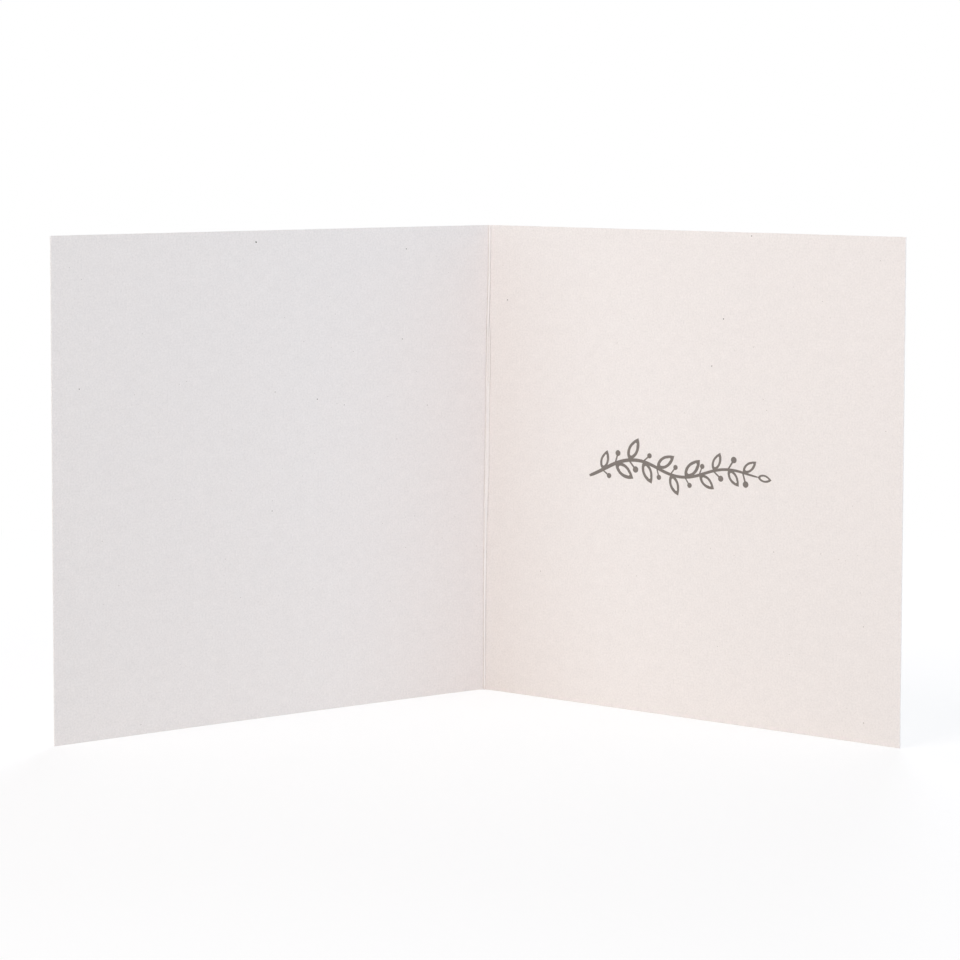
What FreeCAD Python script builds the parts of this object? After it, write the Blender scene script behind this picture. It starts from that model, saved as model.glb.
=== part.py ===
import FreeCAD, Part
import math
import os
import Sketcher

# The driving sizes, in millimetres and degrees
SIZES = [
    ("leaf_width", 150.0, "fold to free edge, measured along the board"),
    ("leaf_height", 150.0, "foot to top edge"),
    ("board_thickness", 0.4, "stiff uncoated card"),
    ("half_opening", 55.6, "right leaf to the plane that halves the open card"),
    ("fold_radius", 5.0, "inside of the soft bend beside the crease"),
    ("bow_radius", 3100.0, "inside of the left leaf, which has relaxed into a faint curve"),
    ("twist", 1.3, "turn of the top edge against the foot"),
    ("bead_width", 1.0, "raised bead along the inside of the crease"),
    ("bead_height", 0.25, "how far that bead stands off the board"),
    ("score_width", 0.8, "groove that the creasing rule leaves along the outside"),
    ("score_depth", 0.12, "depth of that groove"),
]
SIZE = {alias: value for alias, value, note in SIZES}

# Lengths that follow from the sizes, as formulas for the sketches
HUB_DEPTH = "(Sizes.fold_radius + Sizes.board_thickness / 2)"
FLAT_WIDTH = f"Sizes.leaf_width - {HUB_DEPTH} * (90 - Sizes.half_opening) * pi / 180"
STANCE_DEPTH = "Sizes.leaf_width * cos(Sizes.half_opening * 1 deg)"
BEAD_RADIUS = "((Sizes.bead_width / 2) ^ 2 + Sizes.bead_height ^ 2) / (2 * Sizes.bead_height)"
BEAD_RISE = f"{BEAD_RADIUS} - Sizes.board_thickness / 2 - Sizes.bead_height"
SCORE_RADIUS = "((Sizes.score_width / 2) ^ 2 + Sizes.score_depth ^ 2) / (2 * Sizes.score_depth)"
SCORE_RISE = f"{SCORE_RADIUS} + Sizes.board_thickness / 2 - Sizes.score_depth"

# The top edge stands above the foot, turned about the middle of the line between the free edges
TOP_PLACE = {
    "AttachmentOffset.Rotation.Angle": "-Sizes.twist * 1 deg",
    "AttachmentOffset.Base.x": f"{STANCE_DEPTH} * sin(Sizes.twist * 1 deg)",
    "AttachmentOffset.Base.y": f"{STANCE_DEPTH} * (cos(Sizes.twist * 1 deg) - 1)",
    "AttachmentOffset.Base.z": "Sizes.leaf_height",
}

# A sketch numbers the points of a curve upwards in this order, and its own axes downwards
POINTS = ["whole", "start", "end", "centre"]
AXES = ["none", "level", "upright"]


def write_sheet(doc):
    """Put the driving sizes into a sheet, one named cell each."""
    sheet = doc.addObject("Spreadsheet::Sheet", "Sizes")
    for row, (alias, value, note) in enumerate(SIZES, start=1):
        sheet.set(f"A{row}", alias)
        sheet.set(f"B{row}", str(value))
        sheet.set(f"C{row}", note)
        sheet.setAlias(f"B{row}", alias)
    doc.recompute()


def polar(centre, radius, angle):
    """Point at an angle on a circle round a centre."""
    return centre + FreeCAD.Vector(radius * math.cos(angle), radius * math.sin(angle), 0)


def add_arc(sketch, centre, radius, start, end):
    """Arc that runs anticlockwise between two angles."""
    circle = Part.Circle(centre, FreeCAD.Vector(0, 0, 1), radius)
    return sketch.addGeometry(Part.ArcOfCircle(circle, start, end))


def add_line(sketch, first, second):
    """Straight line between two points."""
    return sketch.addGeometry(Part.LineSegment(first, second))


def at(curve, point):
    """One named point of a curve, as a sketch numbers it."""
    return curve, POINTS.index(point)


def axis(name):
    """One of a sketch's own axes, as a sketch numbers it. The level one starts at the origin."""
    return -AXES.index(name)


def tie(sketch, kind, *targets):
    """Add a constraint that has no size."""
    sketch.addConstraint(Sketcher.Constraint(kind, *targets))


def bind(sketch, name, formula, kind, *targets):
    """Add a constraint that takes its size from the sheet."""
    index = sketch.addConstraint(Sketcher.Constraint(kind, *targets))
    sketch.renameConstraint(index, name)
    sketch.setExpression(f"Constraints.{name}", formula)


def nose_radius(width, height):
    """Radius of the round nose that is so wide where it stands so high."""
    return ((width / 2) ** 2 + height ** 2) / (2 * height)


def draw_board(sketch):
    """Plan of the folded board: a flat right leaf, a soft bend and a faintly bowed left leaf."""
    inside = SIZE["fold_radius"]
    outside = inside + SIZE["board_thickness"]
    hub = FreeCAD.Vector(0, -(inside + outside) / 2, 0)
    right = math.radians(SIZE["half_opening"])
    reach = SIZE["leaf_width"] + hub.y * (math.pi / 2 - right)
    bow_turn = reach / SIZE["bow_radius"]
    left = math.pi - right - bow_turn / 2
    bow_hub = polar(hub, inside - SIZE["bow_radius"], left)
    across = FreeCAD.Vector(reach * math.sin(right), -reach * math.cos(right), 0)
    faces = []
    for radius in (inside, outside):
        bow_radius = SIZE["bow_radius"] + radius - inside
        foot = polar(hub, radius, right)
        fold = add_arc(sketch, hub, radius, right, left)
        bow = add_arc(sketch, bow_hub, bow_radius, left, left + bow_turn)
        flat = add_line(sketch, foot, foot + across)
        tie(sketch, "Tangent", *at(flat, "start"), *at(fold, "start"))
        tie(sketch, "Tangent", *at(bow, "start"), *at(fold, "end"))
        faces.append((fold, bow, flat, foot + across, polar(bow_hub, bow_radius, left + bow_turn)))
    inner_fold, inner_bow, inner_flat, inner_right, inner_left = faces[0]
    outer_fold, outer_bow, outer_flat, outer_right, outer_left = faces[1]
    right_cut = add_line(sketch, inner_right, outer_right)
    left_cut = add_line(sketch, inner_left, outer_left)
    tie(sketch, "Coincident", *at(inner_fold, "centre"), *at(outer_fold, "centre"))
    tie(sketch, "PointOnObject", *at(inner_fold, "centre"), axis("upright"))
    tie(sketch, "Coincident", *at(inner_bow, "centre"), *at(outer_bow, "centre"))
    tie(sketch, "Parallel", inner_flat, outer_flat)
    tie(sketch, "Coincident", *at(inner_flat, "end"), *at(right_cut, "start"))
    tie(sketch, "Coincident", *at(outer_flat, "end"), *at(right_cut, "end"))
    tie(sketch, "Perpendicular", right_cut, inner_flat)
    tie(sketch, "Perpendicular", *at(left_cut, "start"), *at(inner_bow, "end"))
    tie(sketch, "Coincident", *at(outer_bow, "end"), *at(left_cut, "end"))
    tie(sketch, "Horizontal", *at(inner_flat, "end"), *at(inner_bow, "end"))
    hub_to_fold = (*at(inner_fold, "centre"), *at(axis("level"), "start"))
    slope = right - math.pi / 2
    bind(sketch, "hub_depth", HUB_DEPTH, "DistanceY", *hub_to_fold, -hub.y)
    bind(sketch, "inside", "Sizes.fold_radius", "Radius", inner_fold, inside)
    bind(sketch, "outside", "Sizes.fold_radius + Sizes.board_thickness", "Radius", outer_fold, outside)
    bind(sketch, "bow", "Sizes.bow_radius", "Radius", inner_bow, SIZE["bow_radius"])
    bind(sketch, "slope", "(Sizes.half_opening - 90) * 1 deg", "Angle", inner_flat, slope)
    bind(sketch, "right_width", FLAT_WIDTH, "Distance", inner_flat, reach)
    bind(sketch, "left_width", FLAT_WIDTH, "Distance", inner_bow, reach)


def draw_bead(sketch):
    """Plan of the bead: a round nose on the inside of the crease, closed inside the board."""
    radius = nose_radius(SIZE["bead_width"], SIZE["bead_height"])
    rise = radius - SIZE["board_thickness"] / 2 - SIZE["bead_height"]
    corner = FreeCAD.Vector(math.sqrt(radius ** 2 - rise ** 2), 0, 0)
    lean = math.asin(rise / radius)
    nose = add_arc(sketch, FreeCAD.Vector(0, rise, 0), radius, math.pi + lean, 2 * math.pi - lean)
    back = add_line(sketch, corner, -corner)
    tie(sketch, "Coincident", *at(nose, "end"), *at(back, "start"))
    tie(sketch, "Coincident", *at(nose, "start"), *at(back, "end"))
    tie(sketch, "PointOnObject", *at(nose, "centre"), axis("upright"))
    tie(sketch, "PointOnObject", *at(back, "start"), axis("level"))
    tie(sketch, "PointOnObject", *at(back, "end"), axis("level"))
    fold_to_centre = (*at(axis("level"), "start"), *at(nose, "centre"))
    bind(sketch, "radius", BEAD_RADIUS, "Radius", nose, radius)
    bind(sketch, "rise", BEAD_RISE, "DistanceY", *fold_to_centre, rise)


def draw_score(sketch):
    """Plan of the score: the round edge of the creasing rule, pressed into the outside."""
    radius = nose_radius(SIZE["score_width"], SIZE["score_depth"])
    rise = radius + SIZE["board_thickness"] / 2 - SIZE["score_depth"]
    centre = FreeCAD.Vector(0, rise, 0)
    rule = sketch.addGeometry(Part.Circle(centre, FreeCAD.Vector(0, 0, 1), radius))
    fold_to_centre = (*at(axis("level"), "start"), *at(rule, "centre"))
    tie(sketch, "PointOnObject", *at(rule, "centre"), axis("upright"))
    bind(sketch, "radius", SCORE_RADIUS, "Radius", rule, radius)
    bind(sketch, "rise", SCORE_RISE, "DistanceY", *fold_to_centre, rise)


def plan_sketch(body, name, draw, place):
    """Sketch of one plan, at the foot of the card or moved to another place."""
    sketch = body.newObject("Sketcher::SketchObject", name)
    level = next(plane for plane in body.Origin.OriginFeatures if plane.Role == "XY_Plane")
    sketch.AttachmentSupport = (level, [""])
    sketch.MapMode = "FlatFace"
    for path, formula in place.items():
        sketch.setExpression(path, formula)
    draw(sketch)
    return sketch


def stretch_up(body, kind, name, draw):
    """Join the plan at the foot to the same plan at the top edge."""
    foot = plan_sketch(body, f"{name}_foot", draw, {})
    top = plan_sketch(body, f"{name}_top", draw, TOP_PLACE)
    loft = body.newObject(kind, name)
    loft.Profile = foot
    loft.Sections = [top]
    loft.Ruled = True
    return loft


def make_card(doc):
    """One sheet of card, scored and folded in the middle, standing open on its foot."""
    body = doc.addObject("PartDesign::Body", "FoldedCard")
    body.Label = "folded_card"
    stretch_up(body, "PartDesign::AdditiveLoft", "board", draw_board)
    stretch_up(body, "PartDesign::AdditiveLoft", "bead", draw_bead)
    stretch_up(body, "PartDesign::SubtractiveLoft", "score", draw_score)
    return body


def check(doc, pieces):
    """Stop if any object failed or any piece isn't one sound solid."""
    for item in doc.Objects:
        if "Invalid" in item.State or "Error" in item.State:
            raise RuntimeError(f"{item.Name} failed: {item.State}")
    for piece in pieces:
        if piece.Shape.isNull() or not piece.Shape.isValid() or len(piece.Shape.Solids) != 1:
            raise RuntimeError(f"{piece.Label} isn't one sound solid")


doc = FreeCAD.newDocument("greeting_card")
write_sheet(doc)
pieces = [make_card(doc)]
doc.recompute()
check(doc, pieces)
os.makedirs("parts", exist_ok=True)
for piece in pieces:
    piece.Shape.exportStep(f"parts/{piece.Label}.step")
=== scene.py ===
import math

import bpy
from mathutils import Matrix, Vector


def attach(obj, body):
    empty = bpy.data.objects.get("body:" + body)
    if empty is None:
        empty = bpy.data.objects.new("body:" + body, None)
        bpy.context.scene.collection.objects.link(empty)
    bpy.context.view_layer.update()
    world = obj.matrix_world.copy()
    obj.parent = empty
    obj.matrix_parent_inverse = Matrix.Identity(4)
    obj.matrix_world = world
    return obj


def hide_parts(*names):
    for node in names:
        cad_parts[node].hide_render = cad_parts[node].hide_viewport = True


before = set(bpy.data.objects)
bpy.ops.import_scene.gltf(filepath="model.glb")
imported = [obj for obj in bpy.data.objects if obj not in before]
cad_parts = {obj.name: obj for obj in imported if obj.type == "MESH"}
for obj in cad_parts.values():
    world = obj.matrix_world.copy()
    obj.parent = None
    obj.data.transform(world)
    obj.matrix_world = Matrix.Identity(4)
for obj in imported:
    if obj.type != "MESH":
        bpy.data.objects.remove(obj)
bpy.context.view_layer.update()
scene = bpy.context.scene


# Folding: the card is printed and creased as a flat sheet and folded afterwards, so everything on it is
# drawn on the flat sheet first, across from the crease, up from the foot and deep from mid-thickness,
# and then laid along the plan line, the way the open card stands when it is seen from above.
LEAF_WIDTH = 0.150
LEAF_HEIGHT = 0.150
THICKNESS = 0.0004
# How far each leaf turns at the fold. The right one leaves half the opening to the card's middle plane
HALF_OPENING = math.radians(55.6)
RIGHT_TURN = math.pi / 2 - HALF_OPENING
LEFT_TURN = math.radians(33.08)
# The sharp part of that turn and its length on either side of the crease, the length that eases the
# rest, and how far the crease lies behind the origin
CREASE_TURN = math.radians(24)
CREASE_HALF = 0.0008
EASE_LENGTH = 0.005
CREASE_BACK = 0.00019
PLAN_STEPS = 48
# The left leaf's bow, the turn of the top edge against the foot, and the board's faint cockle
BOW_RADIUS = 3.1 + THICKNESS / 2
TWIST = math.radians(1.3)
COCKLE = 0.00006
COCKLE_SCALE = 17.0


def put(tree, kind, sockets=(), **settings):
    """Add a node. Its sockets take plain values or other nodes' outputs, by name or by number."""
    made = tree.nodes.new(kind)
    for name, value in settings.items():
        setattr(made, name, value)
    for name, value in dict(sockets).items():
        if isinstance(value, bpy.types.NodeSocket):
            tree.links.new(value, made.inputs[name])
        else:
            made.inputs[name].default_value = value
    return made


def calc(tree, operation, *values):
    """Result of one sum on numbers."""
    return put(tree, "ShaderNodeMath", enumerate(values), operation=operation).outputs[0]


def vector(tree, x=0.0, y=0.0, z=0.0):
    """Vector made of three numbers."""
    return put(tree, "ShaderNodeCombineXYZ", {0: x, 1: y, 2: z}).outputs[0]


def vector_calc(tree, operation, *values):
    """Result of one sum on vectors."""
    return put(tree, "ShaderNodeVectorMath", enumerate(values), operation=operation).outputs[0]


def scaled(tree, arrow, factor):
    """Vector times a number."""
    return put(tree, "ShaderNodeVectorMath", {0: arrow, "Scale": factor}, operation="SCALE").outputs[0]


def noise(tree, place, scale, detail, roughness=0.5):
    """Soft noise between 0 and 1."""
    return put(tree, "ShaderNodeTexNoise", {
        "Vector": place, "Scale": scale, "Detail": detail, "Roughness": roughness}).outputs[0]


def open_tree(name, sizes, result, kind):
    """Geometry tree with one named input for each size and one output."""
    tree = bpy.data.node_groups.new(name, "GeometryNodeTree")
    for label, value in sizes.items():
        socket_kind = {int: "Int", float: "Float"}.get(type(value), "Object")
        item = tree.interface.new_socket(label, in_out="INPUT", socket_type=f"NodeSocket{socket_kind}")
        item.default_value = value
    tree.interface.new_socket(result, in_out="OUTPUT", socket_type=f"NodeSocket{kind}")
    return tree, tree.nodes.new("NodeGroupInput").outputs, tree.nodes.new("NodeGroupOutput").inputs


def placed(name, data):
    """New object in the scene."""
    made = bpy.data.objects.new(name, data)
    scene.collection.objects.link(made)
    return made


def walk(length, turn, start, heading):
    """End of an even bend that starts here, the heading there and how far its curve's handles reach."""
    chord = length * math.sin(turn / 2) / (turn / 2) if turn else length
    along = heading + turn / 2
    end = (start[0] + chord * math.cos(along), start[1] + chord * math.sin(along))
    reach = abs(4 / 3 * math.tan(turn / 4) * length / turn) if turn else length / 3
    return end, heading + turn, reach


def draw_plan():
    """Plan line from the left free edge round the crease to the right one: most of the turn is in the
    crease, some is eased into the board beside it, and the left leaf keeps bowing to its free edge."""
    leaf = LEAF_WIDTH - CREASE_HALF - EASE_LENGTH
    stations = []
    for side, turn, bow in ((-1, LEFT_TURN, leaf / BOW_RADIUS), (1, RIGHT_TURN, 0.0)):
        place, heading = (0.0, CREASE_BACK), 0.0 if side > 0 else math.pi
        legs = ((CREASE_HALF, CREASE_TURN), (EASE_LENGTH, turn - CREASE_TURN), (leaf, bow))
        reaches = [walk(length, bend, place, heading)[2] for length, bend in legs]
        outwards = [(place, heading, reaches[0], reaches[0])]
        for (length, bend), before, after in zip(legs, reaches, (*reaches[1:], reaches[-1])):
            place, heading, _ = walk(length, -side * bend, place, heading)
            outwards.append((place, heading, before, after))
        if side < 0:
            stations = [(spot, back - math.pi, after, before)
                        for spot, back, before, after in outwards[:0:-1]]
        else:
            stations += outwards
    curve = bpy.data.curves.new("plan_line", "CURVE")
    curve.dimensions = "3D"
    curve.resolution_u = PLAN_STEPS
    spline = curve.splines.new("BEZIER")
    spline.bezier_points.add(len(stations) - 1)
    for spot, (place, heading, before, after) in zip(spline.bezier_points, stations):
        ahead = (math.cos(heading), math.sin(heading))
        spot.handle_left_type = spot.handle_right_type = "FREE"
        spot.co = (*place, 0)
        spot.handle_left = (place[0] - before * ahead[0], place[1] - before * ahead[1], 0)
        spot.handle_right = (place[0] + after * ahead[0], place[1] + after * ahead[1], 0)
    return placed("plan_line", curve)


plan_line = draw_plan()

folding, given, gives = open_tree("Fold along the plan", {
    "Plan line": plan_line, "Across": 0.0, "Up": 0.0, "Depth": 0.0, "Leaf width": LEAF_WIDTH,
    "Leaf height": LEAF_HEIGHT, "Stance depth": LEAF_WIDTH * math.cos(HALF_OPENING), "Twist": TWIST,
    "Cockle": COCKLE,
}, "Place", "Vector")
line = put(folding, "GeometryNodeObjectInfo", {"Object": given["Plan line"]}).outputs["Geometry"]
station = put(folding, "GeometryNodeSampleCurve", {
    "Curves": line, "Length": calc(folding, "ADD", given["Across"], given["Leaf width"]),
}, mode="LENGTH", use_all_curves=False).outputs
inwards = vector_calc(folding, "CROSS_PRODUCT", station["Tangent"], (0, 0, 1))
wave = noise(folding, vector(folding, given["Across"], given["Up"]), COCKLE_SCALE, 1.0)
swell = calc(folding, "MULTIPLY", calc(folding, "SUBTRACT", wave, 0.5), given["Cockle"])
off_line = scaled(folding, inwards, calc(folding, "MULTIPLY_ADD", swell, 2.0, given["Depth"]))
standing = vector_calc(folding, "ADD", station["Position"], off_line)
standing = vector_calc(folding, "ADD", standing, vector(folding, z=given["Up"]))
share = calc(folding, "DIVIDE", given["Up"], given["Leaf height"])
turn = calc(folding, "MULTIPLY", share, given["Twist"])
turned = put(folding, "ShaderNodeVectorRotate", {
    "Vector": standing,
    "Center": vector(folding, y=calc(folding, "MULTIPLY", given["Stance depth"], -1.0)),
    "Angle": calc(folding, "MULTIPLY", turn, -1.0),
}, rotation_type="Z_AXIS").outputs[0]
folding.links.new(turned, gives["Place"])


# Folded sheet: one piece of stiff uncoated card, cut square, creased up the middle with a rule and bent.
# The rule leaves a shallow score outside and pushes up a narrow bead inside, which wanders a little and
# splits in two for a short way below the top. The cut edges are clean, with only the finest arris.
# The mesh is a block whose columns crowd towards the crease and whose outer layers, from SKIN_FROM on,
# are drawn in by the arris
COLUMNS = 281
ROWS = 131
CROWDING = 5.4
SKIN_FROM = 0.9
ARRIS = 0.00003
SHARP_ANGLE = math.radians(40)
SCORE_DEPTH = 0.00012
SCORE_HALF = 0.0004
BEAD_HEIGHT = 0.00024
# The bead by height, from foot to top: how far it wanders sideways, the half widths of its crest and of
# its foot, all in millimetres, how much of its height it has, and how deep the slit is that parts it
MILLIMETRE = 0.001
BEAD_WANDER = [(0, 0.42), (0.03, 0.45), (0.1, 0.3), (0.2, 0.16), (0.3, 0.14), (0.4, 0.22), (0.5, 0.4),
               (0.63, 0.4), (0.7, 0.47), (0.76, 0.42), (0.8, 0.22), (0.83, 0.28), (0.86, 0.4),
               (1, 0.42)]
BEAD_CREST = [(0, 0.18), (0.18, 0.19), (0.22, 0.21), (0.36, 0.25), (0.4, 0.48), (0.5, 0.55),
              (0.6, 0.48), (0.68, 0.56), (0.76, 0.52), (0.8, 0.25), (0.86, 0.23), (1, 0.23)]
BEAD_HALF = [(0, 0.66), (0.18, 0.68), (0.22, 0.8), (0.36, 0.9), (0.4, 1.02), (0.5, 1.1), (0.6, 1.0),
             (0.68, 1.03), (0.76, 0.95), (0.8, 0.62), (0.86, 0.62), (1, 0.62)]
BEAD_LIFT = [(0, 0.6), (0.03, 1), (0.5, 1), (0.94, 1), (0.985, 0.8), (1, 0.2)]
SLIT_SINK = [(0, 0), (0.62, 0), (0.66, 0.5), (0.7, 0.9), (0.76, 0.9), (0.79, 0.3), (0.82, 0), (1, 0)]
SLIT_HALF = 0.00018
# Round nose of the bead: its crest up to CREST_SHARE, then its flank and the sharp groove beside it
BEAD_NOSE = [(0, 1), (0.4, 0.94), (0.5, 0.72), (0.62, 0.05), (0.74, -0.75), (0.82, -0.75),
             (0.92, -0.15), (1, 0)]
CREST_SHARE = 0.4
# The board is painted paler where the bead stands up, most of all where its crest is narrow: a painted
# highlight standing in for the light on the bead's top
PAINTED_HIGHLIGHT_TONE = (0.93, 0.905, 0.885, 1)
PAINTED_HIGHLIGHT_FROM = 0.5
PAINTED_HIGHLIGHT_TO = 0.9
NARROW_CREST = 0.0002
# Board: its tone and how far its three grains shift it, each by scale and share
BOARD_TONE = (0.86, 0.82, 0.795)
TONE_SPREAD = 0.1
FELT_SCALE = 1800.0
FELT_SHARE = 1.1
STRAND_SCALE = (1900.0, 520.0, 1.0)
STRAND_SHARE = 0.4
CLOUD_SCALE = 260.0
CLOUD_SHARE = 0.3
FELT_STRENGTH = 0.25
FELT_DEPTH = 0.00004
DRY_ROUGHNESS = 0.92
DRY_SPECULAR = 0.2


def shaped(tree, value, points):
    """Value read off a drawn curve through these points."""
    node = put(tree, "ShaderNodeFloatCurve", {"Value": value})
    node.mapping.use_clip = False
    drawn = node.mapping.curves[0].points
    while len(drawn) < len(points):
        drawn.new(0.5, 0.5)
    for spot, place in zip(drawn, points):
        spot.location = place
    node.mapping.update()
    return node.outputs[0]


def ramp(tree, value, start, end, kind="SMOOTHSTEP"):
    """Rise from 0 to 1 between two values."""
    return put(tree, "ShaderNodeMapRange", {"Value": value, 1: start, 2: end},
               interpolation_type=kind).outputs[0]


def split(tree, arrow):
    """X, Y and Z of a vector."""
    return put(tree, "ShaderNodeSeparateXYZ", {0: arrow}).outputs


def own_place(tree):
    """X, Y and Z of each point of a mesh."""
    return split(tree, put(tree, "GeometryNodeInputPosition").outputs[0])


def tint(tree, factor, first, second):
    """Colour between two others."""
    return put(tree, "ShaderNodeMix", {"Factor": factor, 6: first, 7: second},
               data_type="RGBA").outputs[2]


def matt_finish(name, roughness, specular):
    """New matt material, with its tree and its shader."""
    material = bpy.data.materials.new(name)
    material.use_nodes = True
    shader = material.node_tree.nodes["Principled BSDF"]
    shader.inputs["Roughness"].default_value = roughness
    shader.inputs["Specular IOR Level"].default_value = specular
    return material, material.node_tree, shader


def board_finish():
    """Uncoated board of part-recycled pulp: fine felted grain, faint clouds, dry to the touch."""
    material, tree, shader = matt_finish("uncoated_board", DRY_ROUGHNESS, DRY_SPECULAR)
    flat = put(tree, "ShaderNodeUVMap", uv_map="FlatSheet").outputs[0]
    along = put(tree, "ShaderNodeMapping", {"Vector": flat, "Scale": STRAND_SCALE}).outputs[0]
    felt = noise(tree, flat, FELT_SCALE, 2.0, 0.6)
    strands = noise(tree, along, 1.0, 1.0)
    cloud = noise(tree, flat, CLOUD_SCALE, 3.0)
    tone = 0.5 - (FELT_SHARE + STRAND_SHARE + CLOUD_SHARE) / 2
    for grain, weight in ((felt, FELT_SHARE), (strands, STRAND_SHARE), (cloud, CLOUD_SHARE)):
        tone = calc(tree, "MULTIPLY_ADD", grain, weight, tone)
    dark, pale = ([c * (1 + shift) for c in BOARD_TONE] + [1] for shift in (-TONE_SPREAD, TONE_SPREAD))
    # Painted highlight: the board turns paler on the bead's crest, standing in for the light on its top
    painted_highlight = put(tree, "ShaderNodeAttribute", attribute_name="Pressed").outputs["Fac"]
    colour = tint(tree, painted_highlight, tint(tree, tone, dark, pale), PAINTED_HIGHLIGHT_TONE)
    tree.links.new(colour, shader.inputs["Base Color"])
    bump = put(tree, "ShaderNodeBump", {
        "Height": felt, "Strength": FELT_STRENGTH, "Distance": FELT_DEPTH}).outputs[0]
    tree.links.new(bump, shader.inputs["Normal"])
    return material


def lay(tree, flat, across, up, depth, material, gives):
    """End a piece's tree: its flat mesh is laid on the folded card and given its material."""
    place = put(tree, "GeometryNodeGroup", {"Across": across, "Up": up, "Depth": depth},
                node_tree=folding).outputs[0]
    laid = put(tree, "GeometryNodeSetPosition", {"Geometry": flat, "Position": place}).outputs[0]
    laid = put(tree, "GeometryNodeRealizeInstances", {0: laid}).outputs[0]
    clad = put(tree, "GeometryNodeSetMaterial", {"Geometry": laid, "Material": material}).outputs[0]
    tree.links.new(clad, gives["Geometry"])


def made_by(tree, name, sizes):
    """Piece that a tree makes, as a plain mesh."""
    piece = placed(name, bpy.data.meshes.new(name))
    modifier = piece.modifiers.new(name, "NODES")
    modifier.node_group = tree
    for item in tree.interface.items_tree:
        if item.name in sizes:
            modifier[item.identifier] = sizes[item.name]
    finished = piece.evaluated_get(bpy.context.evaluated_depsgraph_get())
    piece.data = bpy.data.meshes.new_from_object(finished)
    piece.modifiers.clear()
    return piece


sheet, given, gives = open_tree("Folded sheet", {
    "Columns": COLUMNS, "Rows": ROWS, "Crowding": CROWDING, "Leaf width": LEAF_WIDTH,
    "Leaf height": LEAF_HEIGHT, "Thickness": THICKNESS, "Arris": ARRIS, "Bead height": BEAD_HEIGHT,
    "Score depth": SCORE_DEPTH, "Score half width": SCORE_HALF, "Slit half width": SLIT_HALF,
}, "Geometry", "Geometry")
block = put(sheet, "GeometryNodeMeshCube", {
    "Size": (2, 1, 2), "Vertices X": given["Columns"], "Vertices Y": given["Rows"], "Vertices Z": 4,
}).outputs["Mesh"]
spot = own_place(sheet)
skin = calc(sheet, "GREATER_THAN", calc(sheet, "ABSOLUTE", spot["Z"]), SKIN_FROM)
inside = calc(sheet, "GREATER_THAN", spot["Z"], 0.0)
inset = calc(sheet, "MULTIPLY", skin, given["Arris"])
crowded = calc(sheet, "SINH", calc(sheet, "MULTIPLY", spot["X"], given["Crowding"]))
spread = calc(sheet, "DIVIDE", crowded, calc(sheet, "SINH", given["Crowding"]))
across = calc(sheet, "MULTIPLY", spread, calc(sheet, "SUBTRACT", given["Leaf width"], inset))
tall = calc(sheet, "MULTIPLY_ADD", inset, -2.0, given["Leaf height"])
up = calc(sheet, "MULTIPLY_ADD", calc(sheet, "ADD", spot["Y"], 0.5), tall, inset)

share = calc(sheet, "DIVIDE", up, given["Leaf height"])
wander, crest, half = (calc(sheet, "MULTIPLY", shaped(sheet, share, drawn), MILLIMETRE)
                       for drawn in (BEAD_WANDER, BEAD_CREST, BEAD_HALF))
aside = calc(sheet, "ABSOLUTE", calc(sheet, "SUBTRACT", across, wander))
on_crest = calc(sheet, "MINIMUM", calc(sheet, "DIVIDE", aside, crest), 1.0)
on_flank = ramp(sheet, aside, crest, half, "LINEAR")
nose_at = calc(sheet, "MULTIPLY_ADD", on_flank, 1 - CREST_SHARE,
               calc(sheet, "MULTIPLY", on_crest, CREST_SHARE))
nose = calc(sheet, "MULTIPLY", shaped(sheet, nose_at, BEAD_NOSE), shaped(sheet, share, BEAD_LIFT))
slit = calc(sheet, "SUBTRACT", 1.0, ramp(sheet, aside, 0.0, given["Slit half width"]))
crown = calc(sheet, "SUBTRACT", nose, calc(sheet, "MULTIPLY", slit, shaped(sheet, share, SLIT_SINK)))
relief = calc(sheet, "MULTIPLY", crown, given["Bead height"])

score_at = calc(sheet, "ABSOLUTE", calc(sheet, "DIVIDE", across, given["Score half width"]))
score_at = calc(sheet, "MINIMUM", score_at, 1.0)
hollow = calc(sheet, "SUBTRACT", 1.0, calc(sheet, "MULTIPLY", score_at, score_at))
score = calc(sheet, "MULTIPLY", hollow, given["Score depth"])

under_skin = calc(sheet, "MULTIPLY", calc(sheet, "SUBTRACT", 1.0, skin), given["Arris"])
level = calc(sheet, "SUBTRACT", calc(sheet, "MULTIPLY", given["Thickness"], 0.5), under_skin)
level = calc(sheet, "MULTIPLY", calc(sheet, "SIGN", spot["Z"]), level)
pushed = put(sheet, "ShaderNodeMix", {"Factor": inside, 2: score, 3: relief}).outputs[0]
depth = calc(sheet, "ADD", level, pushed)

# Share of painted highlight on the bead's crest, strongest where the crest stands high and is narrow,
# kept on the inside face only
narrowness = calc(sheet, "MINIMUM", calc(sheet, "DIVIDE", NARROW_CREST, crest), 1.0)
painted_highlight = calc(sheet, "MULTIPLY", ramp(sheet, crown, PAINTED_HIGHLIGHT_FROM, PAINTED_HIGHLIGHT_TO), narrowness)
mapped = put(sheet, "GeometryNodeStoreNamedAttribute", {
    "Geometry": block, "Name": "FlatSheet", "Value": vector(sheet, across, up),
}, data_type="FLOAT2", domain="CORNER").outputs[0]
mapped = put(sheet, "GeometryNodeStoreNamedAttribute", {
    "Geometry": mapped, "Name": "Pressed", "Value": calc(sheet, "MULTIPLY", painted_highlight, inside),
}).outputs[0]
lay(sheet, mapped, across, up, depth, board_finish(), gives)

card = made_by(sheet, "card", {"Leaf width": LEAF_WIDTH, "Leaf height": LEAF_HEIGHT})
card.data.shade_smooth()
card.data.set_sharp_from_angle(angle=SHARP_ANGLE)
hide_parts("folded_card")
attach(card, "root")
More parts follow.
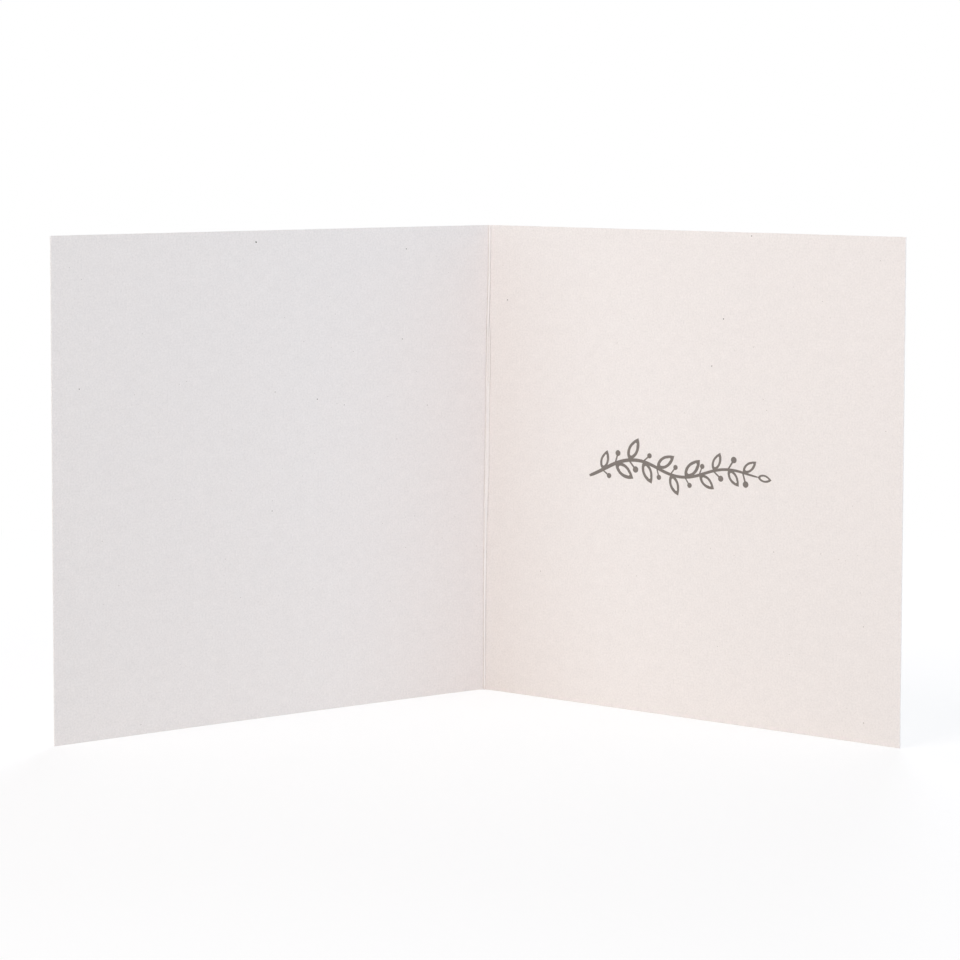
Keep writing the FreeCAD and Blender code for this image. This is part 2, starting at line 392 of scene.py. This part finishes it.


# Flecks: specks of darker fibre that recycled pulp carries, a quarter to half a millimetre long, pressed
# level with the face of the sheet. The plain ones inside are listed, across and up in millimetres with
# their length and darkness, and the faint ones are strewn over both sides.
FLECKS = [(-82.5, 146.5, 0.60, 1.0), (-29.8, 143.1, 0.45, 0.6), (-31.0, 114.8, 0.40, 0.5),
          (-141.2, 104.8, 0.45, 0.6), (-21.7, 93.4, 0.35, 0.4), (-51.7, 95.1, 0.40, 0.5),
          (-61.2, 97.4, 0.45, 0.6), (-75.9, 100.4, 0.35, 0.4), (-76.9, 63.8, 0.40, 0.4),
          (-34.7, 31.9, 0.35, 0.3), (7.5, 126.3, 0.50, 0.7), (88.4, 123.7, 0.50, 0.9),
          (98.0, 149.0, 0.45, 0.6), (84.4, 109.2, 0.50, 0.7), (138.0, 6.1, 0.40, 0.3),
          (106.9, 54.3, 0.35, 0.3), (21.7, 40.5, 0.35, 0.4), (137.6, 34.8, 0.35, 0.3),
          (58.0, 42.4, 0.35, 0.3), (99.1, 115.7, 0.35, 0.3), (123.0, 55.2, 0.35, 0.3)]
FLECK_SIDES = 7
FLECK_SLIMNESS = (0.5, 0.95)
FLECK_STANDING = 0.000012
PALE_FLECK = (0.62, 0.57, 0.53, 1)
DARK_FLECK = (0.17, 0.145, 0.135, 1)
INSIDE_STRAY = 150
OUTSIDE_STRAY = 190
STRAY_LENGTH = (0.00015, 0.00032)
STRAY_DARKNESS = (0.0, 0.3)
STRAY_MARGIN = 0.001


def fleck_finish():
    """Fleck of bark or old print, from faint buff to grey-brown, as dry as the board."""
    material, tree, shader = matt_finish("pulp_fleck", DRY_ROUGHNESS, DRY_SPECULAR)
    darkness = put(tree, "ShaderNodeAttribute", attribute_name="Darkness").outputs["Fac"]
    tree.links.new(tint(tree, darkness, PALE_FLECK, DARK_FLECK), shader.inputs["Base Color"])
    return material


def marked_flecks():
    """Loose points that mark the plain flecks on the flat sheet."""
    mesh = bpy.data.meshes.new("fleck_marks")
    places = [(x * MILLIMETRE, y * MILLIMETRE, THICKNESS / 2) for x, y, _, _ in FLECKS]
    mesh.from_pydata(places, [], [])
    for label, column, unit in (("Length", 2, MILLIMETRE), ("Darkness", 3, 1)):
        layer = mesh.attributes.new(label, "FLOAT", "POINT")
        layer.data.foreach_set("value", [mark[column] * unit for mark in FLECKS])
    return placed("fleck_marks", mesh)


def any_of(tree, span, seed):
    """Number within a span, another one for each point."""
    return put(tree, "FunctionNodeRandomValue", {2: span[0], 3: span[1], "Seed": seed}).outputs[1]


def strewn(tree, count, level, seed):
    """Faint flecks strewn at random over one side of the flat sheet."""
    reach = LEAF_WIDTH - STRAY_MARGIN
    rise = (STRAY_MARGIN, LEAF_HEIGHT - 2 * STRAY_MARGIN)
    place = vector(tree, any_of(tree, (-reach, reach), seed + 1), any_of(tree, rise, seed + 2), level)
    points = put(tree, "GeometryNodePoints", {"Count": count, "Position": place}).outputs[0]
    for label, span, key in (("Length", STRAY_LENGTH, 3), ("Darkness", STRAY_DARKNESS, 4)):
        points = put(tree, "GeometryNodeStoreNamedAttribute", {
            "Geometry": points, "Name": label, "Value": any_of(tree, span, seed + key)}).outputs[0]
    return points


def joined(tree, *shapes):
    """Several shapes as one."""
    join = tree.nodes.new("GeometryNodeJoinGeometry")
    for shape in shapes:
        tree.links.new(shape, join.inputs[0])
    return join.outputs[0]


fleck_marks = marked_flecks()
flecks, given, gives = open_tree("Pulp flecks", {
    "Marks": fleck_marks, "Inside strays": INSIDE_STRAY, "Outside strays": OUTSIDE_STRAY,
    "Thickness": THICKNESS, "Standing": FLECK_STANDING,
}, "Geometry", "Geometry")
marks = put(flecks, "GeometryNodeObjectInfo", {"Object": given["Marks"]}).outputs["Geometry"]
marks = put(flecks, "GeometryNodeMeshToPoints", {0: marks}).outputs[0]
front = calc(flecks, "MULTIPLY", given["Thickness"], 0.5)
back = calc(flecks, "MULTIPLY", front, -1.0)
spots = joined(flecks, marks, strewn(flecks, given["Inside strays"], front, 40),
               strewn(flecks, given["Outside strays"], back, 70))
chip = put(flecks, "GeometryNodeMeshCylinder", {
    "Vertices": FLECK_SIDES, "Radius": 0.5, "Depth": 1.0}).outputs["Mesh"]
length = put(flecks, "GeometryNodeInputNamedAttribute", {"Name": "Length"}).outputs[0]
breadth = calc(flecks, "MULTIPLY", length, any_of(flecks, FLECK_SLIMNESS, 5))
height = calc(flecks, "MULTIPLY", given["Standing"], 2.0)
chips = put(flecks, "GeometryNodeInstanceOnPoints", {
    "Points": spots, "Instance": chip, "Rotation": vector(flecks, z=any_of(flecks, (0.0, math.pi), 6)),
    "Scale": vector(flecks, length, breadth, height),
}).outputs[0]
chips = put(flecks, "GeometryNodeRealizeInstances", {0: chips}).outputs[0]
spot = own_place(flecks)
lay(flecks, chips, spot["X"], spot["Y"], spot["Z"], fleck_finish(), gives)

specks = made_by(flecks, "pulp_flecks", {"Inside strays": INSIDE_STRAY, "Outside strays": OUTSIDE_STRAY})
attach(specks, "root")


# Printed sprig: a loose pen drawing of a leafy twig with berries, printed in one warm grey ink on the
# right leaf. The film of ink is a few hundredths of a millimetre thick and follows the sheet's face.
STEM = [(40.0, 72.5), (56.0, 78.5), (74.0, 74.5), (90.0, 78.0), (101.0, 76.5)]
STEM_WIDTH = 0.0011
STEM_STEPS = 90
PRESSURE = [(0, 0.6), (0.08, 1), (0.5, 0.85), (0.85, 0.75), (1, 0.35)]
LEAF_COUNT = 13
LEAF_LENGTH = 0.0078
LEAF_SHARE = [(0, 0.8), (0.2, 1), (0.6, 0.95), (1, 0.62)]
LEAF_VARIES = (0.88, 1.08)
LEAF_LEAN = (0.72, 1.0)
# Outline of a leaf and of the clear space in it, in thousandths of its length, with its corners marked
LEAF_RIM = [(0, 0, 1), (170, 170), (470, 240), (780, 150), (1000, 0, 1), (790, -160), (470, -230),
            (170, -150)]
LEAF_EYE = [(210, 20), (320, 100), (500, 125), (680, 70), (780, 5), (670, -65), (490, -112),
            (310, -80)]
# A berry stands at each leaf but the outermost, across the stem from it. Its disc and its stalk are
# sized as shares of its whole length, and the stalk's depth as a share of its ink
BERRY_LENGTH = 0.0034
BERRY_SIDES = 16
BERRY_RADIUS = 0.27
BERRY_SPAN = 0.46
BERRY_VARIES = (0.85, 1.1)
BERRY_LEAN = (0.85, 1.15)
STALK_SIZE = Vector((0.9, 0.15, 0.9))
# Thickness of the ink of the stem, and of the leaves and the berries as shares of that
INK_STANDING = 0.00003
LEAF_FILM = 0.8
BERRY_FILM = 1.2
INK_FELT_SCALE = 2300.0
DARK_INK = (0.18, 0.158, 0.14, 1)
PALE_INK = (0.25, 0.222, 0.2, 1)
INK_ROUGHNESS = 0.75
INK_SPECULAR = 0.3


def drawn_line(name, splines):
    """Smooth lines through points on the flat sheet, in millimetres, each open or closed."""
    curve = bpy.data.curves.new(name, "CURVE")
    curve.dimensions = "2D"
    curve.fill_mode = "NONE"
    curve.resolution_u = 12
    for closed, places in splines:
        spline = curve.splines.new("BEZIER")
        spline.bezier_points.add(len(places) - 1)
        spline.use_cyclic_u = closed
        for spot, place in zip(spline.bezier_points, places):
            spot.co = (place[0] * MILLIMETRE, place[1] * MILLIMETRE, 0)
            sharp = len(place) > 2
            spot.handle_left_type = spot.handle_right_type = "VECTOR" if sharp else "AUTO"
    return placed(name, curve)


def ink_finish():
    """Matt offset ink that lets a little of the board's felt through."""
    material, tree, shader = matt_finish("printed_ink", INK_ROUGHNESS, INK_SPECULAR)
    place = put(tree, "ShaderNodeTexCoord").outputs["Object"]
    felt = noise(tree, place, INK_FELT_SCALE, 2.0)
    tree.links.new(tint(tree, felt, DARK_INK, PALE_INK), shader.inputs["Base Color"])
    return material


def solid_film(tree, flat):
    """Closed film of unit thickness on a flat shape."""
    raised = put(tree, "GeometryNodeExtrudeMesh", {
        "Mesh": flat, "Offset": (0, 0, 1), "Offset Scale": 1.0, "Individual": False}).outputs["Mesh"]
    under = put(tree, "GeometryNodeFlipFaces", {0: flat}).outputs[0]
    return put(tree, "GeometryNodeMergeByDistance", {
        "Geometry": joined(tree, raised, under), "Distance": 0.0}).outputs[0]


stem_line = drawn_line("stem_line", [(False, STEM)])
leaf_line = drawn_line("leaf_line", [(True, LEAF_RIM), (True, LEAF_EYE)])
sprig, given, gives = open_tree("Printed sprig", {
    "Stem line": stem_line, "Leaf line": leaf_line, "Stem width": STEM_WIDTH, "Leaves": LEAF_COUNT,
    "Leaf length": LEAF_LENGTH, "Berry length": BERRY_LENGTH, "Standing": INK_STANDING,
    "Thickness": THICKNESS,
}, "Geometry", "Geometry")
stem_path = put(sprig, "GeometryNodeObjectInfo", {"Object": given["Stem line"]}).outputs["Geometry"]
spot = own_place(sprig)

pen = put(sprig, "GeometryNodeMeshCube", {"Size": (1, 1, 1), "Vertices X": STEM_STEPS}).outputs["Mesh"]
share = calc(sprig, "ADD", spot["X"], 0.5)
on_stem = put(sprig, "GeometryNodeSampleCurve", {"Curves": stem_path, "Factor": share}, mode="FACTOR",
              use_all_curves=False).outputs
beside = vector_calc(sprig, "CROSS_PRODUCT", on_stem["Tangent"], (0, 0, -1))
width = calc(sprig, "MULTIPLY", calc(sprig, "MULTIPLY", spot["Y"], given["Stem width"]),
             shaped(sprig, share, PRESSURE))
stroke = split(sprig, vector_calc(sprig, "ADD", on_stem["Position"], scaled(sprig, beside, width)))
level = calc(sprig, "MULTIPLY", calc(sprig, "ADD", spot["Z"], 0.5), given["Standing"])
stem = put(sprig, "GeometryNodeSetPosition", {
    "Geometry": pen, "Position": vector(sprig, stroke["X"], stroke["Y"], level)}).outputs[0]

leaf_path = put(sprig, "GeometryNodeObjectInfo", {"Object": given["Leaf line"]}).outputs["Geometry"]
blade = solid_film(sprig, put(sprig, "GeometryNodeFillCurve", {0: leaf_path}).outputs[0])
buds = put(sprig, "GeometryNodeCurveToPoints", {
    "Curve": stem_path, "Count": given["Leaves"]}, mode="COUNT").outputs
number = put(sprig, "GeometryNodeInputIndex").outputs[0]
last = calc(sprig, "SUBTRACT", given["Leaves"], 1.0)
past_foot = calc(sprig, "GREATER_THAN", number, 0.5)
before_tip = calc(sprig, "LESS_THAN", number, calc(sprig, "SUBTRACT", last, 0.5))
along = calc(sprig, "DIVIDE", number, last)
side = calc(sprig, "MULTIPLY_ADD", calc(sprig, "MODULO", number, 2.0), 2.0, -1.0)
tangent = split(sprig, buds["Tangent"])
heading = calc(sprig, "ARCTAN2", tangent["Y"], tangent["X"])
lean = calc(sprig, "MULTIPLY", calc(sprig, "MULTIPLY", any_of(sprig, LEAF_LEAN, 11), side), before_tip)
size = calc(sprig, "MULTIPLY", given["Leaf length"], shaped(sprig, along, LEAF_SHARE))
size = calc(sprig, "MULTIPLY", size, any_of(sprig, LEAF_VARIES, 12))
leaves = put(sprig, "GeometryNodeInstanceOnPoints", {
    "Points": buds["Points"], "Instance": blade, "Selection": past_foot,
    "Rotation": vector(sprig, z=calc(sprig, "ADD", heading, lean)),
    "Scale": vector(sprig, size, size, calc(sprig, "MULTIPLY", given["Standing"], LEAF_FILM)),
}).outputs[0]

stalk = put(sprig, "GeometryNodeTransform", {
    "Geometry": put(sprig, "GeometryNodeMeshCube", {"Size": (1, 1, 1)}).outputs["Mesh"],
    "Translation": (STALK_SIZE.x / 2, 0, STALK_SIZE.z / 2), "Scale": STALK_SIZE}).outputs[0]
disc = put(sprig, "GeometryNodeMeshCylinder", {
    "Vertices": BERRY_SIDES, "Radius": BERRY_RADIUS, "Depth": 1.0}).outputs["Mesh"]
disc = put(sprig, "GeometryNodeTransform", {"Geometry": disc, "Translation": (1, 0, 0.5)}).outputs[0]
from_middle = calc(sprig, "ABSOLUTE", calc(sprig, "SUBTRACT", along, 0.5))
lean = calc(sprig, "MULTIPLY", any_of(sprig, BERRY_LEAN, 21), side)
size = calc(sprig, "MULTIPLY", given["Berry length"], any_of(sprig, BERRY_VARIES, 13))
berries = put(sprig, "GeometryNodeInstanceOnPoints", {
    "Points": buds["Points"], "Instance": joined(sprig, stalk, disc),
    "Selection": calc(sprig, "LESS_THAN", from_middle, BERRY_SPAN),
    "Rotation": vector(sprig, z=calc(sprig, "SUBTRACT", heading, lean)),
    "Scale": vector(sprig, size, size, calc(sprig, "MULTIPLY", given["Standing"], BERRY_FILM)),
}).outputs[0]

drawing = joined(sprig, stem, leaves, berries)
drawing = put(sprig, "GeometryNodeRealizeInstances", {0: drawing}).outputs[0]
on_face = calc(sprig, "MULTIPLY_ADD", given["Thickness"], 0.5, spot["Z"])
lay(sprig, drawing, spot["X"], spot["Y"], on_face, ink_finish(), gives)

print_film = made_by(sprig, "printed_sprig", {"Leaves": LEAF_COUNT, "Stem width": STEM_WIDTH})
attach(print_film, "root")
for guide in (plan_line, fleck_marks, stem_line, leaf_line):
    bpy.data.objects.remove(guide)


# Floor: the plain white table that the card stands on, lit by the same lamps. Near the card it shows the
# soft shadow that the card throws, and further out it fades into plain white. The light that it throws
# back on the card is a little warm.
FLOOR_SIZE = 12
THROWN_BACK = (0.85, 0.79, 0.7, 1)
WHITE = (1, 1, 1, 1)
# Round this middle a share of the floor's white is lamplight, which the card can shade. It fades out
# between two distances, and LAMPLIGHT is how bright the lamps would make plain white
SHADE_MIDDLE = (0, -0.05, 0)
SHADE_FROM = 0.15
SHADE_TO = 0.45
SHADE_SHARE = 0.3
LAMPLIGHT = 0.93


def shown_white(tree, plain, white):
    """Plain surface for the lamps' light, and a white one wherever it is seen or mirrored."""
    path = put(tree, "ShaderNodeLightPath").outputs
    mirrored = calc(tree, "MAXIMUM", path["Is Glossy Ray"], path["Is Transmission Ray"])
    seen = calc(tree, "MAXIMUM", path["Is Camera Ray"], mirrored)
    return put(tree, "ShaderNodeMixShader", {0: seen, 1: plain, 2: white}).outputs[0]


bpy.ops.mesh.primitive_plane_add(size=FLOOR_SIZE, location=(0, 0, 0))
floor = bpy.context.object
floor.name = "floor"
table_top = bpy.data.materials.new("table_top")
table_top.use_nodes = True
tree = table_top.node_tree
tree.nodes.clear()
matt = put(tree, "ShaderNodeBsdfDiffuse", {"Color": THROWN_BACK}).outputs[0]
place = put(tree, "ShaderNodeTexCoord").outputs["Object"]
distance = put(tree, "ShaderNodeVectorMath", {0: place, 1: SHADE_MIDDLE},
               operation="DISTANCE").outputs["Value"]
away = ramp(tree, distance, SHADE_FROM, SHADE_TO)
shade = calc(tree, "MULTIPLY_ADD", away, -SHADE_SHARE, SHADE_SHARE)
faint = put(tree, "ShaderNodeBsdfDiffuse", {"Color": vector(tree, shade, shade, shade)}).outputs[0]
glow = put(tree, "ShaderNodeEmission", {
    "Color": WHITE, "Strength": calc(tree, "MULTIPLY_ADD", shade, -LAMPLIGHT, 1.0)}).outputs[0]
lit = put(tree, "ShaderNodeAddShader", {0: faint, 1: glow}).outputs[0]
put(tree, "ShaderNodeOutputMaterial", {"Surface": shown_white(tree, matt, lit)})
floor.data.materials.append(table_top)


# Light: broad round lamps round the table, a warm one high at the left, one low in front, a cool one low
# at each side and one behind that only reaches the outside, with soft white light all round. Each lamp
# is set by how far round it stands from the front, how high, and by its watts in red, green and blue.
MIDDLE = Vector((0, -0.04, 0.075))
LAMP_REACH = 1.05
LAMP_SIZE = 0.5
AMBIENT_STRENGTH = 0.4
LAMPS = [
    ("top_lamp", -40, 60, (3.11, 2.59, 2.42)),
    ("front_lamp", 35, 8, (2.24, 2.13, 2.48)),
    ("left_lamp", -60, 8, (3.04, 3.42, 3.67)),
    ("right_lamp", 60, 8, (1.02, 1.92, 2.49)),
    ("back_lamp", 170, 25, (5.2, 5.55, 6.3)),
]
world = bpy.data.worlds.new("studio")
scene.world = world
world.use_nodes = True
tree = world.node_tree
tree.nodes.clear()
soft, white = (put(tree, "ShaderNodeBackground", {"Color": WHITE, "Strength": strength}).outputs[0]
               for strength in (AMBIENT_STRENGTH, 1.0))
put(tree, "ShaderNodeOutputWorld", {"Surface": shown_white(tree, soft, white)})

for name, round_by, lift_by, watts in LAMPS:
    lamp = bpy.data.lights.new(name, "AREA")
    lamp.shape = "DISK"
    lamp.size = LAMP_SIZE
    lamp.energy = max(watts)
    lamp.color = [part / max(watts) for part in watts]
    turn, lift = math.radians(round_by), math.radians(lift_by)
    way = Vector((math.sin(turn) * math.cos(lift), -math.cos(turn) * math.cos(lift), math.sin(lift)))
    stand = placed(name, lamp)
    stand.location = MIDDLE + LAMP_REACH * way
    stand.rotation_euler = way.to_track_quat("Z", "Y").to_euler()


# Camera: a short telephoto a little above the card, looking slightly down into the fold. Its lens is
# shifted a little, so that the card stands in the middle of the frame.
camera_data = bpy.data.cameras.new("camera")
camera_data.sensor_width = 36
camera_data.lens = 106.588
camera_data.shift_x = -0.04
camera_data.shift_y = -0.17
camera_data.clip_start = 0.01
camera_data.clip_end = 50
camera = placed("camera", camera_data)
camera.location = (0.02115, -0.90658, 0.18584)
camera.rotation_euler = (math.radians(90 - 4.1124), 0, math.radians(0.6162))
scene.camera = camera
scene.view_settings.view_transform = "Standard"
